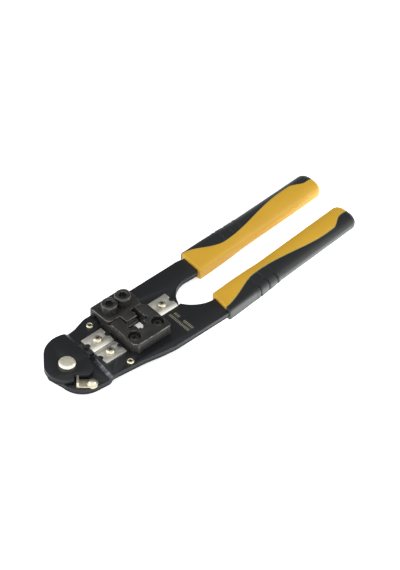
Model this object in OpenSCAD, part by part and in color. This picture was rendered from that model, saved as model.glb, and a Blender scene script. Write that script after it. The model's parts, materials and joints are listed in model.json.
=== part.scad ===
// Hand crimping tool for eight-way modular plugs, with two stripping blades and a wire cutter.
// Millimetres. The origin is on the pivot axis at the plane the tool lies on: +X runs towards
// the handles, +Y towards the lever that carries the punch, +Z up. The tool is closed and latched.

/* [Levers] */
// Thickness of the two stamped lever plates
plate_t = 3; // [2.6:0.1:3.6]
// Underside of the jaw plates above the plane the tool lies on
jaw_floor = 3.4; // [3.3:0.1:4.2]
// Running gap between the plates where they cross at the pivot
lap_gap = 0.1; // [0.06:0.01:0.2]
// Radius of the punch lever's round head
disc_r = 11.7; // [11:0.1:12.5]
// Width of the jaws at the blocks, across both levers
jaw_w = 44.2; // [42:0.2:48]
// Distance from the pivot to the tip of the jaws, where the throat opens
jaw_reach = 71.2; // [70:0.1:78]
// Gap between the two jaw plates when closed
jaw_gap = 0.6; // [0.3:0.1:1]

/* [Handles] */
// Length of the punch lever's grip
punch_grip_l = 85.5; // [76:0.5:96]
// Length of the die lever's grip
die_grip_l = 89.5; // [76:0.5:96]
// Width of each grip where it meets the jaws
grip_w = 16.8; // [14.4:0.2:18]
// Width of each grip at its far end
grip_end_w = 15.2; // [13:0.2:16.4]
// Thickness of each grip
grip_t = 8.9; // [8:0.1:10.4]
// Width of the plate tang inside each grip
tang_w = 10.5; // [8:0.5:11]
// Length of the plate tang inside each grip
tang_l = 46; // [38:1:60]

/* [Pivot] */
// Radius of the rivet shank that both levers turn on
pivot_r = 3.5; // [3:0.1:4]
// Radius of the rivet's domed head
pivot_head_r = 4.5; // [4.2:0.1:5.5]
// Radial running clearance of the punch lever on the rivet
pivot_clear = 0.05; // [0.02:0.01:0.08]
// Wire diameter of the return spring
wire_d = 1; // [0.8:0.1:1.1]

/* [Plug die] */
// Width of the plug's wide shoulder in the die
plug_w = 12.2; // [11.8:0.1:13]
// Width of the punch slot in the die
slot_w = 10.6; // [9.6:0.1:11.2]
// Width of the channel for the plug's latch
latch_w = 5.4; // [4.6:0.1:6]
// Length of the die block along the jaws
die_l = 23.3; // [21.6:0.1:25]
// Height of the die block above the jaw plates
die_h = 6.3; // [5.4:0.1:7.5]
// Radius of the counterbores for the die screws
counterbore_r = 3.4; // [3.2:0.1:3.8]

/* [Punch] */
// Thickness of the punch block's top slab
slab_t = 2.7; // [2.2:0.1:3.2]
// Height of the punch block above the jaw plates
punch_h = 5.2; // [4.8:0.1:6]
// Width of the punch tongue
tongue_w = 6.9; // [6:0.1:8.4]
// Pitch of the eight comb teeth, as the contacts of the plug
tooth_pitch = 1.02; // [0.9:0.01:1.05]
// Head diameter of the socket head screws
cap_d = 8.5; // [7.6:0.1:8.7]

/* [Blades] */
// Length of each blade
blade_l = 13.2; // [12:0.1:14]
// Width of each blade
blade_w = 10; // [8.6:0.1:10.6]
// Thickness of each blade
blade_t = 1; // [0.8:0.1:1.4]
// Radius of the half-round locating notches
notch_r = 1.5; // [1.3:0.1:1.8]

/* [Catch] */
// Thickness of the catch's sheet steel
catch_t = 1.2; // [1:0.1:1.5]
// Width of the catch
catch_w = 5.5; // [5:0.1:6]
// Distance from the catch rivet to the outer face of the catch's tab
catch_reach = 7.8; // [7.2:0.1:8]

/* [Hidden] */
$fn = 48;
eps = 0.01;

// Heights above the resting plane
jaw_top = jaw_floor + plate_t;
disc_floor = jaw_floor + plate_t / 2 + lap_gap / 2;
disc_top = disc_floor + plate_t;
head_top = disc_floor - lap_gap;
head_floor = head_top - plate_t;
die_top = jaw_top + die_h;
punch_top = jaw_top + punch_h;

// Jaw outline: the parting line lies off the pivot towards the die lever at the tip
jaw_mid_y = -3.2;
punch_edge_y = jaw_mid_y + jaw_w / 2;
die_edge_y = jaw_mid_y - jaw_w / 2;
strip_part_y = -2.1;
cut_part_y = -4.4;

// Joggles: the plates step half their thickness between these distances from the pivot
punch_ramp = [12.6, 14.8];
die_ramp = [13.8, 15.3];
die_ramp_lean = -7.5;

// Die block and what it holds
die_x0 = 31.3;
die_y0 = -17;
die_y1 = 3.7;
plug_x = 42.9;
shoulder_y = [-5.5, -3.65];
latch_y = -8.35;
key_y = -9.3;
key_w = 3;
die_screw_at = [[35.3, -10.8], [50.8, -10.6]];
die_screw_r = 1.9;
counterbore_depth = 3.1;

// Punch block and what it holds
punch_x = [31.9, 54.5];
punch_y = [5, 19.2];
punch_leg = 2.6;
cap_at = [[38, 11.6], [46.9, 11.6]];
cap_r = cap_d / 2;
cap_h = 5.4;
cap_screw_r = 2.45;
comb_t = 1.6;
comb_x = [33.4, 52.6];
comb_y = [4.2, 16];
tongue_tip_y = -0.15;
tooth_w = 0.52;
tooth_l = 1.6;
bar_t = 2.5;
bar_y = [6, 16.4];

plug_relief = 0.3;
plug_back = 1.4;
block_lift = 0.3;
bar_nose_w = 5;
hex_af = 4;
hex_depth = 2.6;
die_head_h = 1.9;

// Blades and their screws
strip_gap = 0.25;
punch_blade_at = [16.2, strip_part_y + strip_gap / 2];
die_blade_at = [15.8, strip_part_y - strip_gap / 2 - blade_w];
cutter_at = [56.2, cut_part_y - 0.4];
blade_edge = 0.25;
grind_angle = 25;
blade_head_h = 1.6;
peg_h = 0.8;
screw_clear = 0.15;
blade_screw_r = 1.45;
blade_head_r = 2.45;
peg_r = notch_r - 0.35;

// Spring eyelets
punch_eyelet = [26.9, 13.6];
die_eyelet = [26, -18.4];
eyelet_head_r = 1.95;
eyelet_r = 1.3;
eyelet_bore_r = 0.9;
eyelet_head_h = 0.9;

// Catch
catch_pin = [1.9, -16.9];
catch_angle = 139;
catch_pin_r = 1.6;
catch_head_r = 2.85;
catch_head_h = 1.7;
tab_h = 3.9;
tab_clear = 1.1;
notch_start = 1.9;
notch_clear = 1.2;

// Pivot rivet and return spring: the spring's loop lies between the die lever's head and the rivet's tail
head_r = 10.6;
slip = 0.05;
pivot_head_h = 1.7;
spring_r = pivot_r + 0.3 + wire_d / 2;
spring_clear = 0.15;
spring_z = head_floor - spring_clear - wire_d / 2;
tail_r = 5;
tail_t = spring_z - wire_d / 2 - 0.1;
hook_h = 1.6;

// Handles: where each grip starts on its centre line, and which way the handles lean
punch_grip_at = [92.6, 12.8];
die_grip_at = [87.6, -18.1];
punch_lean = 2.6;
die_lean = 4.4;
grip_end_r = 6;

// Colour boundary on a grip: how far to the outer side of its centre line it lies along the grip
wave_start = 4.6;
wave_dip = -2;
wave_crest = 4.1;
wave_end = 0.2;

// Points on a circle, from one angle to another
function arc(c, r, a0, a1, n) =
    [for (i = [0 : n]) let (a = a0 + (a1 - a0) * i / n) c + r * [cos(a), sin(a)]];

// A slab of plate with a joggle: from_z and to_z are its undersides inside and outside the ramp
module joggled_slab(inner, outer, from_z, to_z) {
    translate([0, 60, 0])
        rotate([90, 0, 0])
            linear_extrude(120)
                polygon([
                    [-40, from_z], [inner, from_z], [outer, to_z], [300, to_z],
                    [300, to_z + plate_t], [outer, to_z + plate_t],
                    [inner, from_z + plate_t], [-40, from_z + plate_t]
                ]);
}

// The outline of the tang that carries a grip
module tang(at, lean) {
    translate(at)
        rotate(lean)
            translate([-6, -tang_w / 2])
                square([tang_l + 6, tang_w]);
}

// The stepped hole that an eight-way plug is pushed into
module plug_hole(extra) {
    translate([plug_x - slot_w / 2 - extra, shoulder_y[0]])
        square([slot_w + 2 * extra, die_y1 - shoulder_y[0] + 1]);
    translate([plug_x - plug_w / 2 - extra, shoulder_y[0] - extra])
        square([plug_w + 2 * extra, shoulder_y[1] - shoulder_y[0] + 2 * extra]);
    translate([plug_x - latch_w / 2 - extra, latch_y - extra])
        square([latch_w + 2 * extra, shoulder_y[0] - latch_y + 1]);
    translate([plug_x - key_w / 2 - extra, key_y - extra])
        square([key_w + 2 * extra, latch_y - key_y + 1]);
}

// The recess in the rim of the punch lever's head: the catch's tab stands against its far wall
module catch_notch() {
    translate(catch_pin)
        rotate(catch_angle)
            translate([notch_start, -catch_w / 2 - notch_clear])
                square([catch_reach + tab_clear - notch_start, 30]);
}

// Half-round bumps pressed out of a plate, which locate a blade by its two notches
module blade_pegs(at) {
    for (x = [0, blade_l])
        translate([at[0] + x, at[1] + blade_w / 2, jaw_top - 1])
            cylinder(h = 1 + peg_h, r = peg_r);
}

// A blade lying on its plate, with its ground edge on the side given by edge (1 high y, -1 low y)
module blade(at, edge) {
    edge_y = edge > 0 ? blade_w : 0;
    translate([at[0], at[1], jaw_top])
        difference() {
            cube([blade_l, blade_w, blade_t]);
            for (x = [0, blade_l])
                translate([x, blade_w / 2, -eps])
                    cylinder(h = blade_t + 2 * eps, r = notch_r);
            translate([blade_l / 2, blade_w / 2, -eps])
                cylinder(h = blade_t + 2 * eps, r = blade_screw_r + screw_clear);
            translate([-eps, edge_y, blade_edge])
                rotate([edge * -grind_angle, 0, 0])
                    translate([0, edge > 0 ? -4 : -eps, 0])
                        cube([blade_l + 2 * eps, 4 + eps, 3]);
        }
}

// A screw through a blade, with a pan head and a cross recess
module blade_screw(at) {
    translate([at[0] + blade_l / 2, at[1] + blade_w / 2, 0])
        difference() {
            union() {
                translate([0, 0, jaw_floor + 0.2])
                    cylinder(h = plate_t + blade_t, r = blade_screw_r);
                translate([0, 0, jaw_top + blade_t])
                    pan_head(blade_head_r, blade_head_h);
            }
            translate([0, 0, jaw_top + blade_t + blade_head_h])
                cross_recess(blade_head_r * 0.62, 1);
        }
}

// A low dome with a straight rim, as on a pan head or a rivet
module pan_head(r, h) {
    rotate_extrude()
        polygon(concat([[0, 0], [r, 0], [r, h * 0.35]], dome_points(r, h)));
}

function dome_points(r, h) = [for (i = [1 : 8]) [r * cos(i * 11.25), h * 0.35 + h * 0.65 * sin(i * 11.25)]];

module cross_recess(reach, depth) {
    for (a = [0, 90])
        rotate(a + 20)
            translate([-reach, -reach / 6, -depth])
                cube([2 * reach, reach / 3, depth + 1]);
}

// ---- Punch lever and what it carries ----

module punch_outline() {
    polygon(concat(
        arc([0, 0], disc_r, 146, 264, 24),
        [[3.3, -12.4], [7.4, -11.4], [9, -10.1], [9.8, -7], [11.3, -3.1]],
        [[13.2, strip_part_y + jaw_gap / 2], [30, strip_part_y + jaw_gap / 2]],
        [[56, cut_part_y + jaw_gap / 2]],
        arc([jaw_reach + 13.6, -7.6], 14.6, 163, 97, 12),
        [[punch_grip_at[0] - 0.6, 6.5], [punch_grip_at[0] - 1, punch_edge_y - 0.5]],
        [[89, punch_edge_y], [29.5, punch_edge_y]],
        [[27.7, punch_edge_y + 0.1], [25, 18.3], [19.2, 16.6]],
        arc([6.6, 3.2], disc_r + 3, 62, 144, 14)
    ));
    tang(punch_grip_at, punch_lean);
}

module punch_lever() {
    color([0.2, 0.21, 0.23])
        union() {
            difference() {
                intersection() {
                    linear_extrude(20)
                        punch_outline();
                    joggled_slab(punch_ramp[0], punch_ramp[1], disc_floor, jaw_floor);
                }
                cylinder(h = 20, r = pivot_r + pivot_clear);
                linear_extrude(20)
                    catch_notch();
                translate([plug_x - plug_w / 2 - plug_relief, cut_part_y - 2, 0])
                    cube([plug_w + 2 * plug_relief, 2 - cut_part_y + plug_back, 20]);
                for (p = cap_at)
                    translate(p)
                        cylinder(h = 20, r = cap_screw_r + screw_clear);
                for (b = [punch_blade_at, cutter_at])
                    translate([b[0] + blade_l / 2, b[1] + blade_w / 2, 0])
                        cylinder(h = 20, r = blade_screw_r);
                translate(punch_eyelet)
                    cylinder(h = 20, r = eyelet_r);
            }
            blade_pegs(punch_blade_at);
            blade_pegs(cutter_at);
        }
}

module punch_block_outline() {
    polygon(concat(
        arc([punch_x[0] + 3, punch_y[0] + 3], 3, 180, 270, 6),
        [[plug_x - tongue_w / 2, punch_y[0]], [plug_x - tongue_w / 2, tongue_tip_y]],
        [[plug_x + tongue_w / 2, tongue_tip_y], [plug_x + tongue_w / 2, punch_y[0]]],
        [[punch_x[1] - 1.4, punch_y[0]], [punch_x[1], punch_y[0] + 5]],
        [[punch_x[1], punch_y[1]], [punch_x[0], punch_y[1]]]
    ));
}

module punch_block() {
    color([0.25, 0.25, 0.25])
        difference() {
            union() {
                translate([0, 0, punch_top - slab_t])
                    linear_extrude(slab_t)
                        punch_block_outline();
                translate([punch_x[0], punch_y[1] - punch_leg, jaw_top])
                    cube([punch_x[1] - punch_x[0], punch_leg, punch_h - slab_t / 2]);
            }
            for (p = cap_at)
                translate(p)
                    cylinder(h = 30, r = cap_screw_r + screw_clear);
        }
}

module contact_comb() {
    nose_w = 7 * tooth_pitch + tooth_w;
    color([0.62, 0.61, 0.58])
        difference() {
            translate([0, 0, jaw_top])
                linear_extrude(comb_t) {
                    translate([comb_x[0], comb_y[0]])
                        square([comb_x[1] - comb_x[0], comb_y[1] - comb_y[0]]);
                    translate([plug_x - nose_w / 2, tongue_tip_y + tooth_l])
                        square([nose_w, comb_y[0] - tongue_tip_y]);
                    for (i = [0 : 7])
                        translate([plug_x - nose_w / 2 + i * tooth_pitch, tongue_tip_y])
                            square([tooth_w, tooth_l + 1]);
                }
            for (p = cap_at)
                translate(p)
                    cylinder(h = 30, r = cap_screw_r + screw_clear);
        }
}

module strain_relief_bar() {
    color([0.25, 0.25, 0.25])
        difference() {
            translate([0, 0, jaw_floor - bar_t])
                linear_extrude(bar_t) {
                    translate([comb_x[0], bar_y[0]])
                        square([comb_x[1] - comb_x[0], bar_y[1] - bar_y[0]]);
                    translate([plug_x - bar_nose_w / 2, tongue_tip_y + 0.4])
                        square([bar_nose_w, bar_y[0] - tongue_tip_y]);
                }
            for (p = cap_at)
                translate(p)
                    cylinder(h = 30, r = cap_screw_r);
        }
}

module punch_cap_screws() {
    color([0.28, 0.28, 0.3])
        for (p = cap_at)
            translate(p)
                difference() {
                    union() {
                        translate([0, 0, jaw_floor - bar_t + 0.2])
                            cylinder(h = punch_top - jaw_floor + bar_t, r = cap_screw_r);
                        translate([0, 0, punch_top])
                            cylinder(h = cap_h, r = cap_r);
                    }
                    translate([0, 0, punch_top + cap_h - hex_depth])
                        cylinder(h = 10, r = hex_af / sqrt(3), $fn = 6);
                }
}

module punch_strip_blade() {
    color([0.75, 0.74, 0.7])
        blade(punch_blade_at, -1);
}

module cutter_blade() {
    color([0.75, 0.74, 0.7])
        blade(cutter_at, -1);
}

module punch_blade_screws() {
    color([0.88, 0.84, 0.76]) {
        blade_screw(punch_blade_at);
        blade_screw(cutter_at);
    }
}

// ---- Die lever and what it carries ----

module die_outline() {
    polygon(concat(
        arc([0, 0], head_r, 0, 172, 20),
        arc([4.2, -6.9], 13, 180, 264, 14),
        [[10, -20.5], [14.5, -20.4], [23.6, -21.4], [33, -22.4]],
        [[42, -24.2], [50, die_edge_y], [84, die_edge_y]],
        [[die_grip_at[0] - 0.3, die_edge_y + 0.4], [die_grip_at[0] - 1, -13.2]],
        arc([jaw_reach + 16, 5.3], 18.5, 263, 211.5, 10),
        [[56, cut_part_y - jaw_gap / 2], [30, strip_part_y - jaw_gap / 2]],
        [[14, strip_part_y - jaw_gap / 2 - 0.4]]
    ));
    tang(die_grip_at, die_lean);
}

module die_lever() {
    color([0.2, 0.21, 0.23])
        union() {
            difference() {
                intersection() {
                    linear_extrude(20)
                        die_outline();
                    rotate(die_ramp_lean)
                        joggled_slab(die_ramp[0], die_ramp[1], head_floor, jaw_floor);
                }
                cylinder(h = 20, r = pivot_r);
                linear_extrude(20)
                    plug_hole(plug_relief);
                for (p = die_screw_at)
                    translate(p)
                        cylinder(h = 20, r = die_screw_r);
                translate([die_blade_at[0] + blade_l / 2, die_blade_at[1] + blade_w / 2, 0])
                    cylinder(h = 20, r = blade_screw_r);
                translate(die_eyelet)
                    cylinder(h = 20, r = eyelet_r);
                translate(catch_pin)
                    cylinder(h = 20, r = catch_pin_r);
            }
            blade_pegs(die_blade_at);
        }
}

module pivot_rivet() {
    color([0.85, 0.83, 0.76])
        union() {
            translate([0, 0, disc_top + slip])
                pan_head(pivot_head_r, pivot_head_h);
            cylinder(h = disc_top + 1, r = pivot_r);
            cylinder(h = tail_t, r = tail_r);
        }
}

// Where a leg leaves the loop: the tangent point for a straight run to the eyelet
function leg_angle(to, side) = atan2(to[1], to[0]) + side * acos(spring_r / norm(to));

// The wire's centre line: up out of one eyelet, round the rivet's tail, and up into the other eyelet
function spring_path() =
    let (a0 = leg_angle(punch_eyelet, 1), a1 = leg_angle(die_eyelet, -1) + 360)
    let (top = jaw_floor + hook_h)
    concat(
        [[punch_eyelet[0], punch_eyelet[1], top]],
        [[punch_eyelet[0], punch_eyelet[1], spring_z + wire_d / 2]],
        [[0.98 * punch_eyelet[0], 0.98 * punch_eyelet[1], spring_z]],
        [for (p = arc([0, 0], spring_r, a0, a1, 24)) [p[0], p[1], spring_z]],
        [[0.98 * die_eyelet[0], 0.98 * die_eyelet[1], spring_z]],
        [[die_eyelet[0], die_eyelet[1], spring_z + wire_d / 2], [die_eyelet[0], die_eyelet[1], top]]
    );

function unit(v) = v / norm(v);

// A round wire along a path, as rings square to the path's mean direction at each point
module wire(path, d, sides) {
    n = len(path);
    rings = [
        for (i = [0 : n - 1])
            let (
                along = unit(path[min(i + 1, n - 1)] - path[max(i - 1, 0)]),
                side = unit(cross(along, abs(along[2]) > 0.9 ? [path[i][1], -path[i][0], 0] : [0, 0, 1])),
                up = cross(side, along)
            )
            for (k = [0 : sides - 1])
                path[i] + d / 2 * (cos(360 * k / sides) * side + sin(360 * k / sides) * up)
    ];
    faces = concat(
        [[for (k = [0 : sides - 1]) k]],
        [
            for (i = [0 : n - 2])
                for (k = [0 : sides - 1])
                    let (a = i * sides + k, b = i * sides + (k + 1) % sides)
                    [a, a + sides, b + sides, b]
        ],
        [[for (k = [sides - 1 : -1 : 0]) (n - 1) * sides + k]]
    );
    polyhedron(rings, faces, convexity = 8);
}

// One open loop round the rivet's tail, with a straight leg out to each lever's eyelet
module return_spring() {
    color([0.6, 0.6, 0.58])
        wire(spring_path(), wire_d, 10);
}

module spring_eyelet(at) {
    color([0.88, 0.84, 0.76])
        translate(at)
            difference() {
                union() {
                    translate([0, 0, jaw_top])
                        pan_head(eyelet_head_r, eyelet_head_h);
                    translate([0, 0, jaw_floor - 0.6])
                        cylinder(h = plate_t + 1, r = eyelet_r);
                    translate([0, 0, jaw_floor - 0.6])
                        cylinder(h = 0.6, r = eyelet_head_r);
                }
                cylinder(h = 20, r = eyelet_bore_r);
            }
}

module punch_spring_eyelet() {
    spring_eyelet(punch_eyelet);
}

module die_spring_eyelet() {
    spring_eyelet(die_eyelet);
}

module catch() {
    z = head_top + slip;
    color([0.85, 0.83, 0.76])
        translate(catch_pin)
            rotate(catch_angle)
                difference() {
                    union() {
                        translate([0, 0, z])
                            cylinder(h = catch_t, r = catch_w / 2 + 0.3);
                        translate([0, -catch_w / 2, z])
                            cube([catch_reach, catch_w, catch_t]);
                        translate([catch_reach - catch_t, -catch_w / 2, z])
                            cube([catch_t, catch_w, tab_h]);
                    }
                    cylinder(h = 20, r = catch_pin_r + pivot_clear);
                }
}

module catch_rivet() {
    color([0.85, 0.83, 0.76])
        translate(catch_pin)
            union() {
                translate([0, 0, head_top + catch_t + 2 * slip])
                    pan_head(catch_head_r, catch_head_h);
                translate([0, 0, head_floor])
                    cylinder(h = plate_t + catch_t + 1, r = catch_pin_r);
            }
}

module die_block_outline() {
    difference() {
        polygon([
            [die_x0 + 1.6, die_y0], [die_x0 + die_l - 1, die_y0], [die_x0 + die_l, die_y0 + 1],
            [die_x0 + die_l, die_y1 - 2.4], [die_x0 + die_l - 2.4, die_y1], [die_x0 + 1.2, die_y1],
            [die_x0, die_y1 - 1.2], [die_x0, -7], [die_x0 - 0.4, -8.2], [die_x0 - 0.4, die_y0 + 2]
        ]);
        plug_hole(0);
    }
}

module die_block() {
    color([0.25, 0.25, 0.25])
        difference() {
            translate([0, 0, jaw_top])
                linear_extrude(die_h)
                    die_block_outline();
            translate([die_x0 - 5, cut_part_y - 0.2, 0])
                cube([die_l + 10, 20, jaw_top + block_lift]);
            for (p = die_screw_at)
                translate(p) {
                    cylinder(h = 20, r = die_screw_r + screw_clear);
                    translate([0, 0, die_top - counterbore_depth])
                        cylinder(h = 20, r = counterbore_r);
                }
        }
}

module die_screws() {
    color([0.3, 0.3, 0.32])
        for (p = die_screw_at)
            translate(p)
                difference() {
                    union() {
                        translate([0, 0, jaw_floor + 0.2])
                            cylinder(h = die_top - counterbore_depth - jaw_floor, r = die_screw_r);
                        translate([0, 0, die_top - counterbore_depth])
                            pan_head(counterbore_r - 0.25, die_head_h);
                    }
                    translate([0, 0, die_top - counterbore_depth + die_head_h])
                        cross_recess(counterbore_r * 0.55, 1.2);
                }
}

module die_strip_blade() {
    color([0.75, 0.74, 0.7])
        blade(die_blade_at, 1);
}

module die_blade_screw() {
    color([0.88, 0.84, 0.76])
        blade_screw(die_blade_at);
}

// ---- Grips ----

// A grip along +X: tapered outline with round far corners, by a section with round edges
module grip_body(l) {
    intersection() {
        linear_extrude(grip_t)
            polygon(concat(
                [[0, -grip_w / 2 + 1.5], [1.5, -grip_w / 2]],
                arc([l - grip_end_r, -grip_end_w / 2 + grip_end_r], grip_end_r, 270, 360, 8),
                arc([l - grip_end_r, grip_end_w / 2 - grip_end_r], grip_end_r, 0, 90, 8),
                [[1.5, grip_w / 2], [0, grip_w / 2 - 1.5]]
            ));
        rotate([90, 0, 90])
            linear_extrude(l)
                grip_section();
    }
}

module grip_section() {
    r = grip_t * 0.38;
    w = grip_w / 2 - r;
    polygon(concat(
        arc([w, r], r, 270, 360, 8),
        arc([w, grip_t - r], r, 0, 90, 8),
        arc([-w, grip_t - r], r, 90, 180, 8),
        arc([-w, r], r, 180, 270, 8)
    ));
}

function smooth(x) = let (k = min(max(x, 0), 1)) k * k * (3 - 2 * k);

// The colour boundary at a share t of the grip's length
function wave(t) =
    wave_start + (wave_dip - wave_start) * smooth((t - 0.05) / 0.22)
    + (wave_crest - wave_dip) * smooth((t - 0.29) / 0.51)
    + (wave_end - wave_crest) * smooth((t - 0.82) / 0.14);

// The part of a grip that is overmoulded in black, on its outer side (1 high y, -1 low y)
module overmould_region(l, out) {
    translate([0, 0, -1])
        linear_extrude(grip_t + 2)
            polygon(concat(
                [for (i = [0 : 32]) [l * i / 32 + (i == 0 ? -1 : i == 32 ? 1 : 0), out * wave(i / 32)]],
                [[l + 1, out * grip_w], [-1, out * grip_w]]
            ));
}

module grip_core(at, lean, l, out) {
    color([0.9, 0.68, 0.15])
        difference() {
            translate(at)
                rotate(lean)
                    difference() {
                        grip_body(l);
                        overmould_region(l, out);
                    }
            tang_slot(at, lean);
        }
}

module grip_overmould(at, lean, l, out) {
    color([0.15, 0.15, 0.15])
        difference() {
            translate(at)
                rotate(lean)
                    intersection() {
                        grip_body(l);
                        overmould_region(l, out);
                    }
            tang_slot(at, lean);
        }
}

module tang_slot(at, lean) {
    translate([0, 0, jaw_floor])
        linear_extrude(plate_t)
            tang(at, lean);
}

module punch_grip_core() {
    grip_core(punch_grip_at, punch_lean, punch_grip_l, 1);
}

module punch_grip_overmould() {
    grip_overmould(punch_grip_at, punch_lean, punch_grip_l, 1);
}

module die_grip_core() {
    grip_core(die_grip_at, die_lean, die_grip_l, -1);
}

module die_grip_overmould() {
    grip_overmould(die_grip_at, die_lean, die_grip_l, -1);
}

punch_lever();
die_lever();
pivot_rivet();
return_spring();
punch_spring_eyelet();
die_spring_eyelet();
catch();
catch_rivet();
die_block();
die_screws();
punch_block();
punch_cap_screws();
contact_comb();
strain_relief_bar();
punch_strip_blade();
die_strip_blade();
cutter_blade();
punch_blade_screws();
die_blade_screw();
punch_grip_core();
punch_grip_overmould();
die_grip_core();
die_grip_overmould();
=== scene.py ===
"""Finished pieces of a hand crimping tool for eight-way modular plugs, built round its CAD frame.

Lengths in the code are metres; MM turns a number of millimetres into them. +X runs from the pivot
to the handles, +Y to the lever that carries the punch, +Z up from the plane the tool lies on.
"""

import json
import math
from collections import namedtuple
from contextlib import contextmanager

import bmesh
import bpy
from bpy.props import FloatProperty, FloatVectorProperty, PointerProperty
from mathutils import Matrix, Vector

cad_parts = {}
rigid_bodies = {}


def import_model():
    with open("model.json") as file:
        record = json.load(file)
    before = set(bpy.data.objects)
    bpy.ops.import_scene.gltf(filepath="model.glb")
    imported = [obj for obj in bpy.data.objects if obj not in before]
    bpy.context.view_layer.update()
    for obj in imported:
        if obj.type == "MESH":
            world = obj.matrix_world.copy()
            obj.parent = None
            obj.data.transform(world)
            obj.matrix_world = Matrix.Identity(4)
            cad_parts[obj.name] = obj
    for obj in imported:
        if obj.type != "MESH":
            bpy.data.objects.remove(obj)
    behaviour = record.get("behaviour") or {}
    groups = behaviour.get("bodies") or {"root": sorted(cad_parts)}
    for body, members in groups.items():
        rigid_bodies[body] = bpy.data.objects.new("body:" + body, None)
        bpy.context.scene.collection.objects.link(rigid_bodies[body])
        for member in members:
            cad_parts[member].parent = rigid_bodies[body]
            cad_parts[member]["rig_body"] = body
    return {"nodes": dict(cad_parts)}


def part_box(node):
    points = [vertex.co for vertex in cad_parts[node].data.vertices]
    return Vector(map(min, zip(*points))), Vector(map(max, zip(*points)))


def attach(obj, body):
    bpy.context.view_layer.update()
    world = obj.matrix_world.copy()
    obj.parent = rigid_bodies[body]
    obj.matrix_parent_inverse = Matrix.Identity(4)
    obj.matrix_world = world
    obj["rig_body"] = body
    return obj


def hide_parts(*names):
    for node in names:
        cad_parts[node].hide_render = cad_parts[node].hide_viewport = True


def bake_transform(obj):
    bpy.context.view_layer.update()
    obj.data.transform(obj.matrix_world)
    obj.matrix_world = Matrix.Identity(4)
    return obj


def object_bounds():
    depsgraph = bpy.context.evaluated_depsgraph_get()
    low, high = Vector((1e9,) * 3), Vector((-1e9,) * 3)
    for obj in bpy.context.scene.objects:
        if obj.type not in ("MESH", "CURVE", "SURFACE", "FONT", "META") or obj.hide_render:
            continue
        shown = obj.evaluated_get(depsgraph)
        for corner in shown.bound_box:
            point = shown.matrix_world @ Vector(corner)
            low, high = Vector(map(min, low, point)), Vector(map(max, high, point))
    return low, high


bl_info = {
    "name": "Modular Plug Crimping Tool",
    "version": (1, 0, 0),
    "blender": (4, 5, 0),
    "location": "3D View > Sidebar > Crimping Tool",
    "description": "Builds the finished pieces of a hand crimping tool round its CAD frame",
    "category": "Object",
}

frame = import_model()
CAD_BOX = [list(corner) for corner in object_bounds()]
MM = 0.001


def linear(code):
    """Linear colour of an sRGB hex value."""
    channels = [int(code[i : i + 2], 16) / 255 for i in (1, 3, 5)]
    return [c / 12.92 if c <= 0.04045 else ((c + 0.055) / 1.055) ** 2.4 for c in channels]


def length(name, description, millimetres):
    """A length that a user may change."""
    return FloatProperty(
        name=name, description=description, default=millimetres * MM, min=0, precision=5, unit="LENGTH"
    )


def colour(name, description, code):
    """A colour that a user may change."""
    return FloatVectorProperty(
        name=name, description=description, default=linear(code), size=3, min=0, max=1, subtype="COLOR"
    )


# ---- What a user may change ----


class CrimperSizes(bpy.types.PropertyGroup):
    """Sizes of the details that finish the CAD shapes."""

    plate_edge: length("Plate edge", "Rounding of the stamped edges of the levers", 0.2)
    plate_bend: length("Plate bend", "How far a joggle's bend spreads to each side of its crease", 0.4)
    block_edge: length("Block edge", "Worn rounding of the die and punch blocks", 0.28)
    block_corner: length("Block corner", "Rounding of the punch block's corner behind its screws", 3.5)
    blade_edge: length("Blade edge", "Rounding of the blades, the comb and the catch", 0.07)
    seam_depth: length("Seam depth", "Depth of the groove where the two colours of a grip meet", 0.22)
    seam_width: length("Seam width", "Half the width of the groove where the two colours meet", 0.42)
    rib_depth: length("Rib depth", "Depth of the three grooves across each black overmould", 0.95)
    rib_width: length("Rib width", "Half the width of each groove across an overmould", 0.62)
    overmould_proud: length("Overmould step", "How far the black overmould stands proud of the yellow", 0.06)
    lip_height: length("Grip lip", "Half the thickness of a grip at its mouth", 3.95)


class CrimperColours(bpy.types.PropertyGroup):
    """Colours of the finishes."""

    yellow_light: colour("Yellow", "Yellow of the grip cores", "#b58d27")
    yellow_deep: colour("Deep yellow", "Deeper yellow that mottles the grip cores", "#af8723")
    grip_black: colour("Grip black", "Black of the overmoulds", "#0f1011")
    plate_black: colour("Plate black", "Black coat on the levers", "#0a0b0d")
    block_black: colour("Block black", "Oxide on the die and punch blocks", "#2b2a28")
    zinc: colour("Zinc", "Yellow-passivated zinc on the pivot rivet", "#fbf3dd")
    zinc_deep: colour("Deep zinc", "Deeper zinc on eyelets, catch and blade screws", "#ccc5ae")
    blade_grey: colour("Blade steel", "Ground tool steel of the blades", "#d2cfc4")
    floor: colour("Floor", "Colour of the floor", "#f4f4f4")


def sizes():
    """The scene's own sizes."""
    return bpy.context.scene.crimper_sizes


def colours():
    """The scene's own colours."""
    return bpy.context.scene.crimper_colours


# ---- Shaping ----

# Faces that meet at more than this many degrees keep a sharp edge between them
SMOOTH_ANGLE = 32
# Points nearer to each other than this are one point
MERGE = 0.002 * MM
# Faces that meet at less than this many degrees are one flat face
FLAT_ANGLE = 0.5


def only(obj):
    """Selects one object alone and makes it the active one."""
    bpy.ops.object.select_all(action="DESELECT")
    obj.select_set(True)
    bpy.context.view_layer.objects.active = obj
    return obj


@contextmanager
def shaping(obj):
    """Edit mode on one object."""
    only(obj)
    bpy.ops.object.mode_set(mode="EDIT")
    yield
    bpy.ops.object.mode_set(mode="OBJECT")


def pick_edges(obj, wanted):
    """In edit mode, selects the edges that pass a test, and nothing else."""
    bpy.ops.mesh.select_mode(type="EDGE")
    bpy.ops.mesh.select_all(action="DESELECT")
    shape = bmesh.from_edit_mesh(obj.data)
    for edge in shape.edges:
        if wanted(edge):
            edge.select_set(True)
    bmesh.update_edit_mesh(obj.data)


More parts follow.
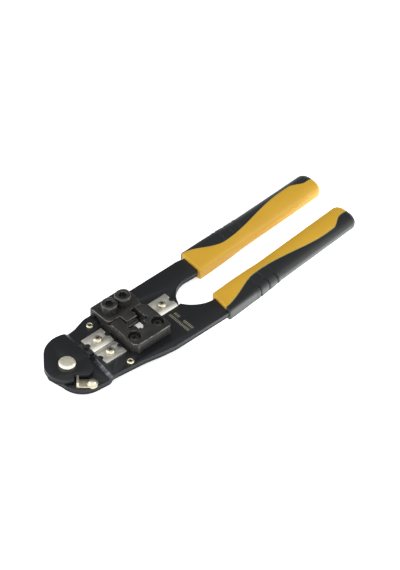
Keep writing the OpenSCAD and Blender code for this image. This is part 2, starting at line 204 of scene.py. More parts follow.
def modify(obj, kind, **settings):
    """Adds a modifier and applies it."""
    only(obj)
    modifier = obj.modifiers.new(kind.title(), kind)
    for key, value in settings.items():
        setattr(modifier, key, value)
    bpy.ops.object.modifier_apply(modifier=modifier.name)


def cut(obj, tool):
    """Cuts a tool's shape out of an object, and removes the tool."""
    modify(obj, "BOOLEAN", object=tool, operation="DIFFERENCE", solver="EXACT")
    bpy.data.objects.remove(tool)


def place(obj, name, slot, *nodes):
    """Finishes a piece: applies its place, shades it, names it and stands it for its CAD nodes."""
    only(obj)
    bpy.ops.object.transform_apply(location=True, rotation=True, scale=True)
    bpy.ops.object.shade_smooth_by_angle(angle=math.radians(SMOOTH_ANGLE))
    obj.name = obj.data.name = name
    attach(obj, frame["nodes"][nodes[0]]["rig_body"])
    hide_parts(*nodes)
    return obj


def merged_copy(node, *finishes):
    """A copy of a CAD node's mesh, with its loose triangles joined into whole faces."""
    obj = bpy.data.objects.new(node, frame["nodes"][node].data.copy())
    bpy.context.scene.collection.objects.link(obj)
    obj.data.materials.clear()
    for finish in finishes:
        obj.data.materials.append(finish)
    only(obj)
    bpy.ops.mesh.customdata_custom_splitnormals_clear()
    with shaping(obj):
        bpy.ops.mesh.select_all(action="SELECT")
        bpy.ops.mesh.remove_doubles(threshold=MERGE)
        bpy.ops.mesh.dissolve_limited(angle_limit=math.radians(FLAT_ANGLE))
    return obj


def ease_edges(obj, width, segments=2):
    """Rounds every sharp edge; the rounded strips take the second finish."""
    modify(
        obj,
        "BEVEL",
        width=width,
        segments=segments,
        limit_method="ANGLE",
        angle_limit=math.radians(SMOOTH_ANGLE),
        material=len(obj.data.materials) - 1,
        miter_outer="MITER_ARC",
    )
    modify(obj, "WEIGHTED_NORMAL", keep_sharp=True)


def turned(profile, at, *finishes, steps=48, closed=False):
    """A turned piece: a profile of (radius, height) points in millimetres, spun round the Z axis."""
    bpy.ops.object.select_all(action="DESELECT")
    bpy.ops.mesh.primitive_circle_add(vertices=len(profile), radius=1, fill_type="NOTHING")
    obj = bpy.context.active_object
    for vertex, (radius, height) in zip(obj.data.vertices, profile):
        vertex.co = (radius * MM, 0, height * MM)
    for finish in finishes:
        obj.data.materials.append(finish)
    with shaping(obj):
        if not closed:
            pick_edges(obj, lambda e: {v.index for v in e.verts} == {0, len(profile) - 1})
            bpy.ops.mesh.delete(type="EDGE_FACE")
        bpy.ops.mesh.select_all(action="SELECT")
        bpy.ops.mesh.spin(steps=steps, angle=2 * math.pi, center=(0, 0, 0), axis=(0, 0, 1))
        bpy.ops.mesh.select_all(action="SELECT")
        bpy.ops.mesh.remove_doubles(threshold=MERGE)
        bpy.ops.mesh.normals_make_consistent(inside=False)
    obj.location = [c * MM for c in at]
    return obj


def rolled_sheet(rings, lips):
    """A closed skin through rings of points: a grid rolled up, its seam merged and its ends filled.
    The strips next to the first and last few points of each ring take the second finish, but the
    filled ends, which have more than four corners, take the first."""
    along, around = len(rings) - 1, len(rings[0])
    bpy.ops.object.select_all(action="DESELECT")
    bpy.ops.mesh.primitive_grid_add(x_subdivisions=along, y_subdivisions=around, size=1)
    obj = bpy.context.active_object
    for face in obj.data.polygons:
        if not lips < (face.center.y + 0.5) * around < around - 1 - lips:
            face.material_index = 1
    for vertex in obj.data.vertices:
        i = round((vertex.co.x + 0.5) * along)
        j = round((vertex.co.y + 0.5) * around)
        vertex.co = rings[i][j % around]
    with shaping(obj):
        bpy.ops.mesh.select_all(action="SELECT")
        bpy.ops.mesh.remove_doubles(threshold=MERGE)
        bpy.ops.mesh.select_all(action="SELECT")
        bpy.ops.mesh.fill_holes(sides=0)
        bpy.ops.mesh.select_all(action="SELECT")
        bpy.ops.mesh.normals_make_consistent(inside=False)
    for face in obj.data.polygons:
        if face.loop_total > 4:
            face.material_index = 0
    return obj


def joined(parts):
    """Several parts joined into the first."""
    only(parts[0])
    for part in parts[1:]:
        part.select_set(True)
    if len(parts) > 1:
        bpy.ops.object.join()
    return parts[0]


def repeat(obj, offsets):
    """Copies of a part, each with its own mesh, at offsets in millimetres; all joined into one."""
    parts = [obj]
    for offset in offsets:
        only(obj)
        bpy.ops.object.duplicate(linked=False)
        copy = bpy.context.active_object
        copy.location = obj.location + Vector(offset) * MM
        parts.append(copy)
    return joined(parts)


# ---- Finishes ----

# Most of a noise pattern's values lie between these
NOISE_RANGE = {"From Min": 0.3, "From Max": 0.7}


def feed(tree, node, inputs):
    """Fills a node's inputs: a node or an output is linked, anything else is a plain value."""
    for key, value in inputs.items():
        if isinstance(value, bpy.types.Node):
            value = value.outputs[0]
        if isinstance(value, bpy.types.NodeSocket):
            tree.links.new(value, node.inputs[key])
        else:
            node.inputs[key].default_value = value


def add(tree, kind, inputs=None, stops=(), **settings):
    """Adds a node with its settings, its colour stops if it is a ramp, and its inputs."""
    node = tree.nodes.new("ShaderNode" + kind)
    for key, value in settings.items():
        setattr(node, key, value)
    for i, (position, tint) in enumerate(stops):
        node.color_ramp.elements[i].position = position
        node.color_ramp.elements[i].color = (*tint, 1)
    feed(tree, node, inputs or {})
    return node


def finish(name, **sockets):
    """A new material, its node tree, its shader and the Object coordinates of its piece."""
    material = bpy.data.materials.new(name)
    material.use_nodes = True
    tree = material.node_tree
    shader = tree.nodes["Principled BSDF"]
    feed(tree, shader, {key.replace("_", " "): value for key, value in sockets.items()})
    return material, tree, shader, add(tree, "TexCoord").outputs["Object"]


def mottled(name, stops, rough, cloud, fine=None, relief=None, **sockets):
    """A material whose colour drifts between two stops in clouds, and whose roughness varies with a
    finer pattern, or else with the clouds. A pattern is the size of its marks in millimetres, its
    detail and its stretch; relief is a bump's strength and its depth in millimetres."""
    material, tree, shader, where = finish(name, **sockets)
    patterns = []
    for size, detail, *stretch in (cloud, fine or cloud):
        mapped = add(tree, "Mapping", {"Vector": where, "Scale": stretch[0] if stretch else (1, 1, 1)})
        patterns.append(
            add(tree, "TexNoise", {"Vector": mapped, "Scale": 1 / (size * MM), "Detail": detail})
        )
    tint = add(tree, "ValToRGB", {"Fac": patterns[0]}, stops=stops)
    gloss = {"Value": patterns[1], **NOISE_RANGE, "To Min": rough[0], "To Max": rough[1]}
    feed(tree, shader, {"Base Color": tint, "Roughness": add(tree, "MapRange", gloss)})
    if relief:
        bump = {"Height": patterns[1], "Strength": relief[0], "Distance": relief[1] * MM}
        feed(tree, shader, {"Normal": add(tree, "Bump", bump)})
    return material


# Tick marks printed on the die lever, in millimetres: (middle x, half width, middle y, half length)
TICK_ROWS = [(62.2, 0.8, -14.1, 7.5), (64.8, 0.8, -9.3, 1.9), (64.8, 0.8, -18.0, 3.6)]
TICK_PITCH = 1.0
# The share of each pitch that is inked
TICK_SHARE = 0.45


def plate_finish(name, ramp, floors, ticks=False):
    """Dipped black coat on blanked steel plate: half gloss, faintly uneven, with the burnished and the
    torn band of a stamped edge showing through it."""
    material, tree, shader, where = finish(name, Specular_IOR_Level=0.5)
    black = colours().plate_black
    clouds = add(tree, "TexNoise", {"Vector": where, "Scale": 1 / (14 * MM), "Detail": 2})
    coat = add(tree, "ValToRGB", {"Fac": clouds}, stops=[(0.35, black), (0.65, [c * 1.35 for c in black])])
    peel = add(tree, "TexNoise", {"Vector": where, "Scale": 1 / (0.9 * MM), "Detail": 2})
    coat_rough = add(tree, "MapRange", {"Value": peel, **NOISE_RANGE, "To Min": 0.33, "To Max": 0.41})

    # Height within the plate's thickness: its underside steps between two levels at the joggle
    parts = add(tree, "SeparateXYZ", {"Vector": where}).outputs
    creases = {"From Min": ramp[0] * MM, "From Max": ramp[1] * MM}
    levels = {"To Min": floors[0] * MM, "To Max": floors[1] * MM}
    underside = add(tree, "MapRange", {"Value": parts["X"], **creases, **levels})
    height = add(tree, "Math", {0: parts["Z"], 1: underside}, operation="SUBTRACT")
    rags = add(tree, "TexNoise", {"Vector": where, "Scale": 1 / (1.4 * MM), "Detail": 5})
    ragged = {"Value": rags, **NOISE_RANGE, "To Min": -0.25 * MM, "To Max": 0.25 * MM}
    line = add(tree, "Math", {0: height, 1: add(tree, "MapRange", ragged)}, operation="ADD")
    band = {"From Min": 1.15 * MM, "From Max": 1.45 * MM, "To Min": 1.0, "To Max": 0.0}
    torn = add(tree, "MapRange", {"Value": line, **band})

    facing = add(tree, "SeparateXYZ", {"Vector": add(tree, "TexCoord").outputs["Normal"]}).outputs["Z"]
    upright = add(tree, "Math", {0: facing}, operation="ABSOLUTE")
    edge = add(tree, "Math", {0: upright, 1: 0.4}, operation="LESS_THAN")
    steel = add(tree, "ValToRGB", {"Fac": torn}, stops=[(0, linear("#202123")), (1, linear("#090a0a"))])
    tint = add(tree, "MixRGB", {"Fac": edge, "Color1": coat, "Color2": steel})
    edge_rough = add(tree, "MapRange", {"Value": torn, "To Min": 0.3, "To Max": 0.6})
    rough = add(tree, "Mix", {0: edge, 2: coat_rough, 3: edge_rough})

    if ticks:
        ink = 0.0
        for x, half_x, y, half_y in TICK_ROWS:
            across = add(tree, "Math", {0: parts["X"], 1: x * MM, 2: half_x * MM}, operation="COMPARE")
            along = add(tree, "Math", {0: parts["Y"], 1: y * MM, 2: half_y * MM}, operation="COMPARE")
            row = add(tree, "Math", {0: across, 1: along}, operation="MULTIPLY")
            ink = add(tree, "Math", {0: ink, 1: row}, operation="ADD")
        pitches = add(tree, "Math", {0: parts["Y"], 1: TICK_PITCH * MM}, operation="DIVIDE")
        phase = add(tree, "Math", {0: pitches}, operation="FRACT")
        inked = add(tree, "Math", {0: phase, 1: TICK_SHARE}, operation="LESS_THAN")
        on_top = add(tree, "Math", {0: facing, 1: 0.9}, operation="GREATER_THAN")
        flecks = add(tree, "TexNoise", {"Vector": where, "Scale": 1 / (0.4 * MM), "Detail": 2})
        faded = add(tree, "MapRange", {"Value": flecks, **NOISE_RANGE, "To Min": 0.35, "To Max": 0.75})
        for share in (inked, on_top, faded):
            ink = add(tree, "Math", {0: ink, 1: share}, operation="MULTIPLY")
        tint = add(tree, "MixRGB", {"Fac": ink, "Color1": tint, "Color2": (*linear("#a9a48b"), 1)})
    shine = add(tree, "MapRange", {"Value": edge, "To Min": 0.5, "To Max": 0.18})
    relief = add(tree, "Bump", {"Height": peel, "Strength": 0.12, "Distance": 0.02 * MM})
    feed(tree, shader, {"Base Color": tint, "Roughness": rough})
    feed(tree, shader, {"Specular IOR Level": shine, "Normal": relief})
    return material


def plate_edge_wear_and_highlight_finish():
    """The same coat, lighter where a stamped edge is rounded: partly thinned to a burnish, partly a painted
    highlight along the edge; on the die lever's ramp it is a painted highlight only.
    """
    tones = [(0.4, linear("#1c1d1f")), (0.72, linear("#55565a"))]
    sockets = {"Metallic": 0.35, "Specular_IOR_Level": 0.5}
    return mottled("black_coat_worn_edge_and_painted_highlight", tones, (0.38, 0.26), (1.6, 4), **sockets)


def oxide_finish():
    """Black oxide on machined tool steel: a dark, slightly warm satin with faint grinding lines."""
    base = colours().block_black
    tones = [(0.3, [c * 0.8 for c in base]), (0.7, [c * 1.3 for c in base])]
    lines = (0.35, 3, (0.06, 1, 1))
    sockets = {"Metallic": 0.45, "Specular_IOR_Level": 0.45}
    return mottled("black_oxide_machined_steel", tones, (0.42, 0.56), (5, 4), lines, (0.12, 0.02), **sockets)


def worn_edge_finish():
    """Black oxide rubbed through to bright steel along an edge, in patches."""
    tones = [(0.38, linear("#3a3836")), (0.62, linear("#8d8a84"))]
    sockets = {"Metallic": 0.85, "Specular_IOR_Level": 0.5}
    return mottled("black_oxide_worn_edge", tones, (0.48, 0.34), (1.8, 5), **sockets)


def zinc_finish(name, base, shine):
    """Zinc plate, passivated pale yellow: a soft metallic sheen with cloudy tone and fine pits."""
    tones = [(0.32, [c * 0.84 for c in base]), (0.66, base)]
    return mottled(name, tones, (shine, shine + 0.12), (1.6, 4), (0.25, 2), (0.1, 0.02), Metallic=1.0)


def blade_finish(name, shade):
    """Ground tool steel: fine grinding lines along the blade, drawn at 0.3 mm to show at all. Shade scales
    the colour, for copies with painted shade or a painted highlight.
    """
    material, tree, shader, where = finish(name, Metallic=1.0)
    drawn = add(tree, "Mapping", {"Vector": where, "Scale": (0.05, 1, 1)})
    lines = add(tree, "TexNoise", {"Vector": drawn, "Scale": 1 / (0.3 * MM), "Detail": 4})
    cloud = add(tree, "TexNoise", {"Vector": where, "Scale": 1 / (3 * MM), "Detail": 2})
    half = add(tree, "Math", {0: cloud, 1: 0.5}, operation="MULTIPLY")
    tone = add(tree, "Math", {0: lines, 1: 0.5, 2: half}, operation="MULTIPLY_ADD")
    light = [c * shade for c in colours().blade_grey]
    tint = add(tree, "ValToRGB", {"Fac": tone}, stops=[(0.3, [c * 0.86 for c in light]), (0.7, light)])
    rough = add(tree, "MapRange", {"Value": lines, **NOISE_RANGE, "To Min": 0.4, "To Max": 0.54})
    relief = add(tree, "Bump", {"Height": lines, "Strength": 0.15, "Distance": 0.01 * MM})
    feed(tree, shader, {"Base Color": tint, "Roughness": rough, "Normal": relief})
    return material


def wire_finish():
    """Spring wire, drawn and oil tempered: dark grey metal with fine streaks."""
    tones = [(0.3, linear("#6a6965")), (0.7, linear("#8c8a84"))]
    return mottled("spring_wire_drawn", tones, (0.3, 0.42), (0.4, 3), Metallic=1.0)


def screw_black_finish():
    """Black-oxide alloy steel, oiled: nearly black with a tight sheen."""
    tones = [(0.3, linear("#343432")), (0.7, linear("#474643"))]
    sockets = {"Metallic": 0.7, "Specular_IOR_Level": 0.5}
    return mottled("black_oxide_screw", tones, (0.26, 0.36), (1.2, 3), None, (0.08, 0.02), **sockets)


def painted_recess_shade_finish():
    """Zinc plate in a driven recess, thin and dull, coloured dark as painted shade for the shadow inside the
    recess.
    """
    material, tree, shader, where = finish("zinc_recess_painted_shade", Metallic=0.6)
    dirt = add(tree, "TexNoise", {"Vector": where, "Scale": 1 / (0.3 * MM), "Detail": 2})
    rough = add(tree, "MapRange", {"Value": dirt, **NOISE_RANGE, "To Min": 0.5, "To Max": 0.65})
    feed(tree, shader, {"Base Color": (*linear("#3d3a33"), 1), "Roughness": rough})
    return material


def rubber_finish(name, light, deep, roughness, gloss=0.35, bloom=0.0):
    """Injection moulded thermoplastic rubber: satin, with a fine spark-eroded texture."""
    return mottled(
        name,
        [(0.35, deep), (0.65, light)],
        (roughness - 0.05, roughness + 0.07),
        (22, 3),
        (0.45, 3),
        (0.18, 0.03),
        Specular_IOR_Level=gloss,
        Subsurface_Weight=0.03,
        Subsurface_Radius=(1.2 * MM, 0.7 * MM, 0.3 * MM),
        Subsurface_Scale=1.0,
        Sheen_Weight=bloom,
        Sheen_Roughness=0.4,
        Sheen_Tint=(*linear("#dfe8e2"), 1),
    )


# ---- Pieces ----

# Heights in millimetres above the plane the tool lies on, read from the CAD boxes
JAW_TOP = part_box("die_block")[0].z / MM
JAW_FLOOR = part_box("strain_relief_bar")[1].z / MM
DISC_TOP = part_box("punch_lever")[1].z / MM
HEAD_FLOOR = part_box("die_lever")[0].z / MM
PLATE = JAW_TOP - JAW_FLOOR

# Creases of each lever's joggle: distances from the pivot, and how far the creases lean, in degrees
JOGGLES = {"punch_lever": ((12.6, 14.8), 0.0), "die_lever": ((13.8, 15.3), -7.5)}
# The faces of the die lever's ramp and of a blade's bevel, by the range of their normals' Z; both take a
# lighter finish as a painted highlight
RAMP_HIGHLIGHT_TILT = (0.5, 0.97)
HIGHLIGHT_BEVEL_TILT = (0.2, 0.98)
# Light of the comb's and the bevels' steel, as shares of the blades': the comb's darkened as painted shade,
# the bevels' lightened as a painted highlight
COMB_PAINTED_SHADE, BEVEL_PAINTED_HIGHLIGHT = 0.4, 1.12


class CRIMPER_OT_levers(bpy.types.Operator):
    """Builds the two stamped lever plates, with rounded joggle bends and eased edges"""

    bl_idname = "crimper.levers"
    bl_label = "Lever Plates"

    def execute(self, context):
        # Rounded edges take a lighter coat: partly worn coat, partly a painted highlight
        edge = plate_edge_wear_and_highlight_finish()
        floors = {"punch_lever": (DISC_TOP - PLATE, JAW_FLOOR), "die_lever": (HEAD_FLOOR, JAW_FLOOR)}
        for node, (creases, lean) in JOGGLES.items():
            coat = plate_finish(node + "_black_coat", creases, floors[node], ticks=node == "die_lever")
            plate = merged_copy(node, coat, edge)
            turn = math.radians(lean)

            def on_crease(bend):
                """Whether an edge lies level along one of the joggle's creases."""
                levels = [v.co.x * math.cos(turn) + v.co.y * math.sin(turn) for v in bend.verts]
                flat = abs(bend.verts[0].co.z - bend.verts[1].co.z) < 0.01 * MM
                return flat and any(all(abs(at - c * MM) < 0.02 * MM for at in levels) for c in creases)

            with shaping(plate):
                pick_edges(plate, on_crease)
                bpy.ops.mesh.bevel(offset=sizes().plate_bend, segments=4, affect="EDGES")
            # The die lever's ramp takes the same lighter coat: a painted highlight on the pressed ramp
            if node == "die_lever":
                for face in plate.data.polygons:
                    if RAMP_HIGHLIGHT_TILT[0] < face.normal.z < RAMP_HIGHLIGHT_TILT[1]:
                        face.material_index = 1
            ease_edges(plate, sizes().plate_edge)
            place(plate, node + "_plate", "black_plate", node)
        return {"FINISHED"}


class CRIMPER_OT_blocks(bpy.types.Operator):
    """Builds the die block, the punch block, the contact comb and the strain relief bar"""

    bl_idname = "crimper.blocks"
    bl_label = "Die and Punch Blocks"

    def execute(self, context):
        oxide, worn = oxide_finish(), worn_edge_finish()
        for node in ("die_block", "punch_block", "strain_relief_bar"):
            block = merged_copy(node, oxide, worn)
            if node == "punch_block":
                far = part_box(node)[1]

                def on_corner(edge):
                    """Whether an edge stands at the punch block's back corner."""
                    near = all(v.co.x > far.x - 2 * MM and v.co.y > far.y - 0.1 * MM for v in edge.verts)
                    return near and abs(edge.verts[0].co.z - edge.verts[1].co.z) > MM

                with shaping(block):
                    pick_edges(block, on_corner)
                    bpy.ops.mesh.bevel(offset=sizes().block_corner, segments=8, affect="EDGES")
            ease_edges(block, sizes().block_edge)
            place(block, node + "_machined", "black_oxide", node)
        # The comb's steel is darkened to a share of the blades': painted shade under the punch block
        comb = merged_copy("contact_comb", blade_finish("comb_ground_steel_painted_shade", COMB_PAINTED_SHADE), worn)
        ease_edges(comb, sizes().blade_edge)
        place(comb, "contact_comb_ground", "blade_steel", "contact_comb")
        return {"FINISHED"}


class CRIMPER_OT_blades(bpy.types.Operator):
    """Builds the two stripping blades and the cutter blade"""

    bl_idname = "crimper.blades"
    bl_label = "Blades"

    def execute(self, context):
        ground = blade_finish("blade_ground_steel", 1.0)
        # The bevels and rounded edges take a lighter copy of the steel: a painted highlight
        bright = blade_finish("blade_bevel_painted_highlight", BEVEL_PAINTED_HIGHLIGHT)
        for node in ("punch_strip_blade", "die_strip_blade", "cutter_blade"):
            blade = merged_copy(node, ground, bright)
            for face in blade.data.polygons:
                if HIGHLIGHT_BEVEL_TILT[0] < face.normal.z < HIGHLIGHT_BEVEL_TILT[1]:
                    face.material_index = 1
            ease_edges(blade, sizes().blade_edge)
            place(blade, node + "_ground", "blade_steel", node)
        return {"FINISHED"}


# A pan head's outline, as shares of its radius and its height
PAN_HEAD = [
    (0, 1),
    (0.35, 0.985),
    (0.58, 0.93),
    (0.78, 0.81),
    (0.91, 0.63),
    (0.98, 0.42),
    (1, 0.22),
    (0.98, 0.06),
    (0.95, 0),
]
# A cross recess: its reach and width as shares of the head's radius, its depth as a share of the
# head's height, and its arms' lengths and widths at the bottom and widths at the top, as shares
RECESS_REACH, RECESS_WIDTH, RECESS_DEPTH = 0.66, 0.26, 0.62
RECESS_POINT, RECESS_TAPER, RECESS_FLARE = 0.42, 0.6, 1.35
# Chamfers at the ends of the shanks
PAN_CHAMFER, CAP_CHAMFER = 0.3, 0.4
# The cap screws' shank radius, and the circle round the corners of their hexagon sockets
CAP_SHANK, CAP_SOCKET = 2.45, 2.31
# Sockets cut in a cap screw: sides, radius at the top, depth, and radius at the bottom
CAP_CUTS = [(6, CAP_SOCKET, 2.6, CAP_SOCKET), (32, 2.75, 0.4, 2.0)]
# The rim of a cap screw's head: in from its radius, and down from its top
CAP_RIM = [(1.05, 0), (0.6, 0.07), (0.28, 0.26), (0.08, 0.6), (0, 1.0)]
# Pan head screws by node: slot, (head radius, head height, height of the seat, shank radius), and
# each screw's middle and the turn of its recess in degrees
PAN_SCREWS = {
    "die_screws": ("black_oxide", (3.15, 1.9, 9.6, 1.9), (((35.3, -10.8), 20), ((50.8, -10.6), 35))),
    "punch_blade_screws": ("zinc", (2.45, 1.6, 7.4, 1.45), (((22.8, 3.025), 12), ((62.8, 0.2), 30))),
    "die_blade_screw": ("zinc", (2.45, 1.6, 7.4, 1.45), (((22.4, -7.225), 24),)),
}


def cut_cross_recess(screw, at, top, radius, height, turn):
    """Cuts a tapered cross recess in a screw's head; its faces take the screw's second finish, which on the
    zinc screws is the painted recess shade.
    """
    for quarter in (0, 90):
        bpy.ops.object.select_all(action="DESELECT")
        bpy.ops.mesh.primitive_cube_add(size=1)
        tool = bpy.context.active_object
        for coat in screw.data.materials:
            tool.data.materials.append(coat)
        for face in tool.data.polygons:
            face.material_index = 1
        reach, width, depth = RECESS_REACH * radius, RECESS_WIDTH * radius, RECESS_DEPTH * height
        tool.scale = (2 * reach * MM, width * MM, 2 * depth * MM)
        bpy.ops.object.transform_apply(location=False, rotation=False, scale=True)
        for vertex in tool.data.vertices:
            if vertex.co.z < 0:
                vertex.co.x *= RECESS_POINT
                vertex.co.y *= RECESS_TAPER
            else:
                vertex.co.y *= RECESS_FLARE
        tool.rotation_euler.z = math.radians(turn + quarter)
        tool.location = [c * MM for c in (*at, top)]
        bpy.context.view_layer.update()
        cut(screw, tool)


def pan_screw(at, size, foot, turn, *finishes):
    """A pan head screw with a cross recess; foot is the height of its shank's end."""
    radius, height, seat, shank = size
    end = foot - seat
    profile = [(r * radius, h * height) for r, h in PAN_HEAD]
    profile += [(shank, 0), (shank, end + PAN_CHAMFER), (shank - PAN_CHAMFER, end), (0, end)]
    screw = turned(profile, (*at, seat), *finishes)
    bpy.context.view_layer.update()
    cut_cross_recess(screw, at, seat + height, radius, height, turn)
    return screw


class CRIMPER_OT_screws(bpy.types.Operator):
    """Builds the socket head screws, the die screws and the blade screws"""

    bl_idname = "crimper.screws"
    bl_label = "Screws"

    def execute(self, context):
        black, recess = screw_black_finish(), painted_recess_shade_finish()
        zinc = zinc_finish("zinc_plate_screw", colours().zinc_deep, 0.26)
        low, high = (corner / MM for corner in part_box("punch_cap_screws"))
        radius, middle = (high.y - low.y) / 2, (low.y + high.y) / 2
        seat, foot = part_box("punch_block")[1].z / MM - high.z, low.z - high.z
        profile = [(0, 0), *((radius - inward, -down) for inward, down in CAP_RIM)]
        profile += [(radius, seat + 0.2), (radius - 0.2, seat), (CAP_SHANK, seat)]
        profile += [(CAP_SHANK, foot + CAP_CHAMFER), (CAP_SHANK - CAP_CHAMFER, foot), (0, foot)]
        cap = turned(profile, (low.x + radius, middle, high.z), black)
        bpy.context.view_layer.update()
        for sides, wide, deep, narrow in CAP_CUTS:
            bpy.ops.object.select_all(action="DESELECT")
            bpy.ops.mesh.primitive_cone_add(
                vertices=sides, radius1=narrow * MM, radius2=(2 * wide - narrow) * MM, depth=2 * deep * MM
            )
            tool = bpy.context.active_object
            tool.location = cap.location
            bpy.context.view_layer.update()
            cut(cap, tool)
        cap = repeat(cap, [(high.x - low.x - 2 * radius, 0, 0)])
        place(cap, "punch_cap_screws_socket", "black_oxide", "punch_cap_screws")

        for node, (slot, size, spots) in PAN_SCREWS.items():
            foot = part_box(node)[0].z / MM
            # On zinc screws the recess takes a dark finish: painted shade inside the recess
            coats = (zinc, recess) if slot == "zinc" else (black, black)
            screws = [pan_screw(at, size, foot, turn, *coats) for at, turn in spots]
            place(joined(screws), node + "_cross", slot, node)
        return {"FINISHED"}


# Outlines of the turned pieces, as (radius, height) in millimetres above their seats
PIVOT_HEAD = [
    (0, 1.62),
    (2.2, 1.6),
    (3.3, 1.54),
    (3.85, 1.4),
    (4.22, 1.12),
    (4.42, 0.75),
    (4.5, 0.35),
    (4.46, 0.08),
    (4.38, 0),
    (3.5, 0),
]
# The pivot's tail, above the plane the tool lies on
PIVOT_TAIL = [(3.5, 0.6), (4.8, 0.6), (5, 0.45), (5, 0.14), (4.86, 0), (0, 0)]
# Play between the punch lever's round head and the pivot's
PIVOT_PLAY = 0.05
CATCH_RIVET_HEAD = [
    (0, 1.7),
    (0.75, 1.63),
    (1.4, 1.4),
    (1.85, 1.05),
    (2.1, 0.66),
    (2.3, 0.5),
    (2.65, 0.42),
    (2.82, 0.27),
    (2.85, 0.12),
    (2.8, 0),
]
CATCH_RIVET_SHANK = 1.6
EYELET_TOP = [
    (0.9, 0.5),
    (0.98, 0.76),
    (1.2, 0.9),
    (1.5, 0.86),
    (1.76, 0.66),
    (1.92, 0.36),
    (1.95, 0.1),
    (1.9, 0),
    (1.3, 0),
]
# The eyelet's other end, down from the plate's underside
EYELET_FOOT = [(1.3, 0), (1.9, 0), (1.95, 0.2), (1.9, 0.45), (1.7, 0.6), (1.0, 0.6), (0.9, 0.5)]
CATCH_EDGE = 0.16 * MM


class CRIMPER_OT_rivets(bpy.types.Operator):
    """Builds the pivot rivet, the catch rivet, the catch and the two spring eyelets"""

    bl_idname = "crimper.rivets"
    bl_label = "Rivets, Catch and Eyelets"

    def execute(self, context):
        zinc = zinc_finish("zinc_plate_passivated", colours().zinc, 0.38)
        seat = DISC_TOP + PIVOT_PLAY
        tail = [(radius, height - seat) for radius, height in PIVOT_TAIL]
        pivot = turned([*PIVOT_HEAD, *tail], (0, 0, seat), zinc, steps=64)
        place(pivot, "pivot_rivet_domed", "zinc", "pivot_rivet")

        zinc = zinc_finish("zinc_plate_small_parts", colours().zinc_deep, 0.28)
        low, high = (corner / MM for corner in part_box("catch_rivet"))
        seat = high.z - CATCH_RIVET_HEAD[0][1]
        foot = low.z - seat
        tail = [(CATCH_RIVET_SHANK, 0), (CATCH_RIVET_SHANK, foot), (0, foot)]
        spot = ((low.x + high.x) / 2, (low.y + high.y) / 2, seat)
        place(turned([*CATCH_RIVET_HEAD, *tail], spot, zinc), "catch_rivet_domed", "zinc", "catch_rivet")

        under = [(radius, -PLATE - down) for radius, down in EYELET_FOOT]
        for node in ("punch_spring_eyelet", "die_spring_eyelet"):
            low, high = (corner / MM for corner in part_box(node))
            spot = ((low.x + high.x) / 2, (low.y + high.y) / 2, JAW_TOP)
            eyelet = turned([*EYELET_TOP, *under], spot, zinc, steps=40, closed=True)
            place(eyelet, node + "_rolled", "zinc", node)

        catch = merged_copy("catch", zinc)
        ease_edges(catch, CATCH_EDGE)
        place(catch, "catch_bent_sheet", "zinc", "catch")
        return {"FINISHED"}


# The return spring: its wire, the radius of its loop, and the bend where a leg turns up to its hook
SPRING_WIRE = 1.0 * MM
SPRING_RADIUS = 4.3 * MM
HOOK_BEND = 1.2 * MM
LOOP_STEPS, HOOK_STEPS = 48, 6
WIRE_SMOOTH_ANGLE = 50


class CRIMPER_OT_spring(bpy.types.Operator):
    """Builds the return spring: one loop round the rivet's tail, with a leg hooked into each lever"""

    bl_idname = "crimper.spring"
    bl_label = "Return Spring"

    def execute(self, context):
        low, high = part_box("return_spring")
        level = low.z + SPRING_WIRE / 2
        spots, starts = [], []
        for node, side in (("punch_spring_eyelet", 1), ("die_spring_eyelet", -1)):
            spot = sum(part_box(node), Vector()) / 2
            spot.z = 0
            spots.append(spot)
            starts.append(math.atan2(spot.y, spot.x) + side * math.acos(SPRING_RADIUS / spot.length))
        first, last = starts[0], starts[1] + 2 * math.pi
        loop = []
        for step in range(LOOP_STEPS + 1):
            angle = first + (last - first) * step / LOOP_STEPS
            loop.append(Vector((SPRING_RADIUS * math.cos(angle), SPRING_RADIUS * math.sin(angle), level)))
        legs = []
        for spot, end in zip(spots, (loop[0], loop[-1])):
            along = end - spot
            along.z = 0
            along.normalize()
            leg = [spot + Vector((0, 0, high.z)), spot + Vector((0, 0, level + HOOK_BEND))]
            for step in range(1, HOOK_STEPS + 1):
                turn = math.pi / 2 * step / HOOK_STEPS
                rise = level + HOOK_BEND * (1 - math.sin(turn))
                leg.append(spot + along * HOOK_BEND * (1 - math.cos(turn)) + Vector((0, 0, rise)))
            legs.append(leg)
        points = legs[0] + loop + legs[1][::-1]
        line = bpy.data.curves.new("return_spring", "CURVE")
        line.dimensions = "3D"
        line.bevel_depth = SPRING_WIRE / 2
        line.bevel_resolution = 3
        line.use_fill_caps = True
        spline = line.splines.new("POLY")
        spline.points.add(len(points) - 1)
        for point, at in zip(spline.points, points):
            point.co = (*at, 1)
        obj = bpy.data.objects.new("return_spring_wire", line)
        context.scene.collection.objects.link(obj)
        only(obj)
        bpy.ops.object.convert(target="MESH")
        obj = context.active_object
        with shaping(obj):
            bpy.ops.mesh.select_all(action="SELECT")
            bpy.ops.mesh.remove_doubles(threshold=MERGE)
            bpy.ops.mesh.normals_make_consistent(inside=False)
        obj.data.materials.append(wire_finish())
        bpy.ops.object.shade_smooth_by_angle(angle=math.radians(WIRE_SMOOTH_ANGLE))
        obj.name = obj.data.name = "return_spring_wire"
        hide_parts("return_spring")
        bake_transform(obj)
        return {"FINISHED"}


Grip = namedtuple("Grip", "start lean span side widths grooves parting slant")
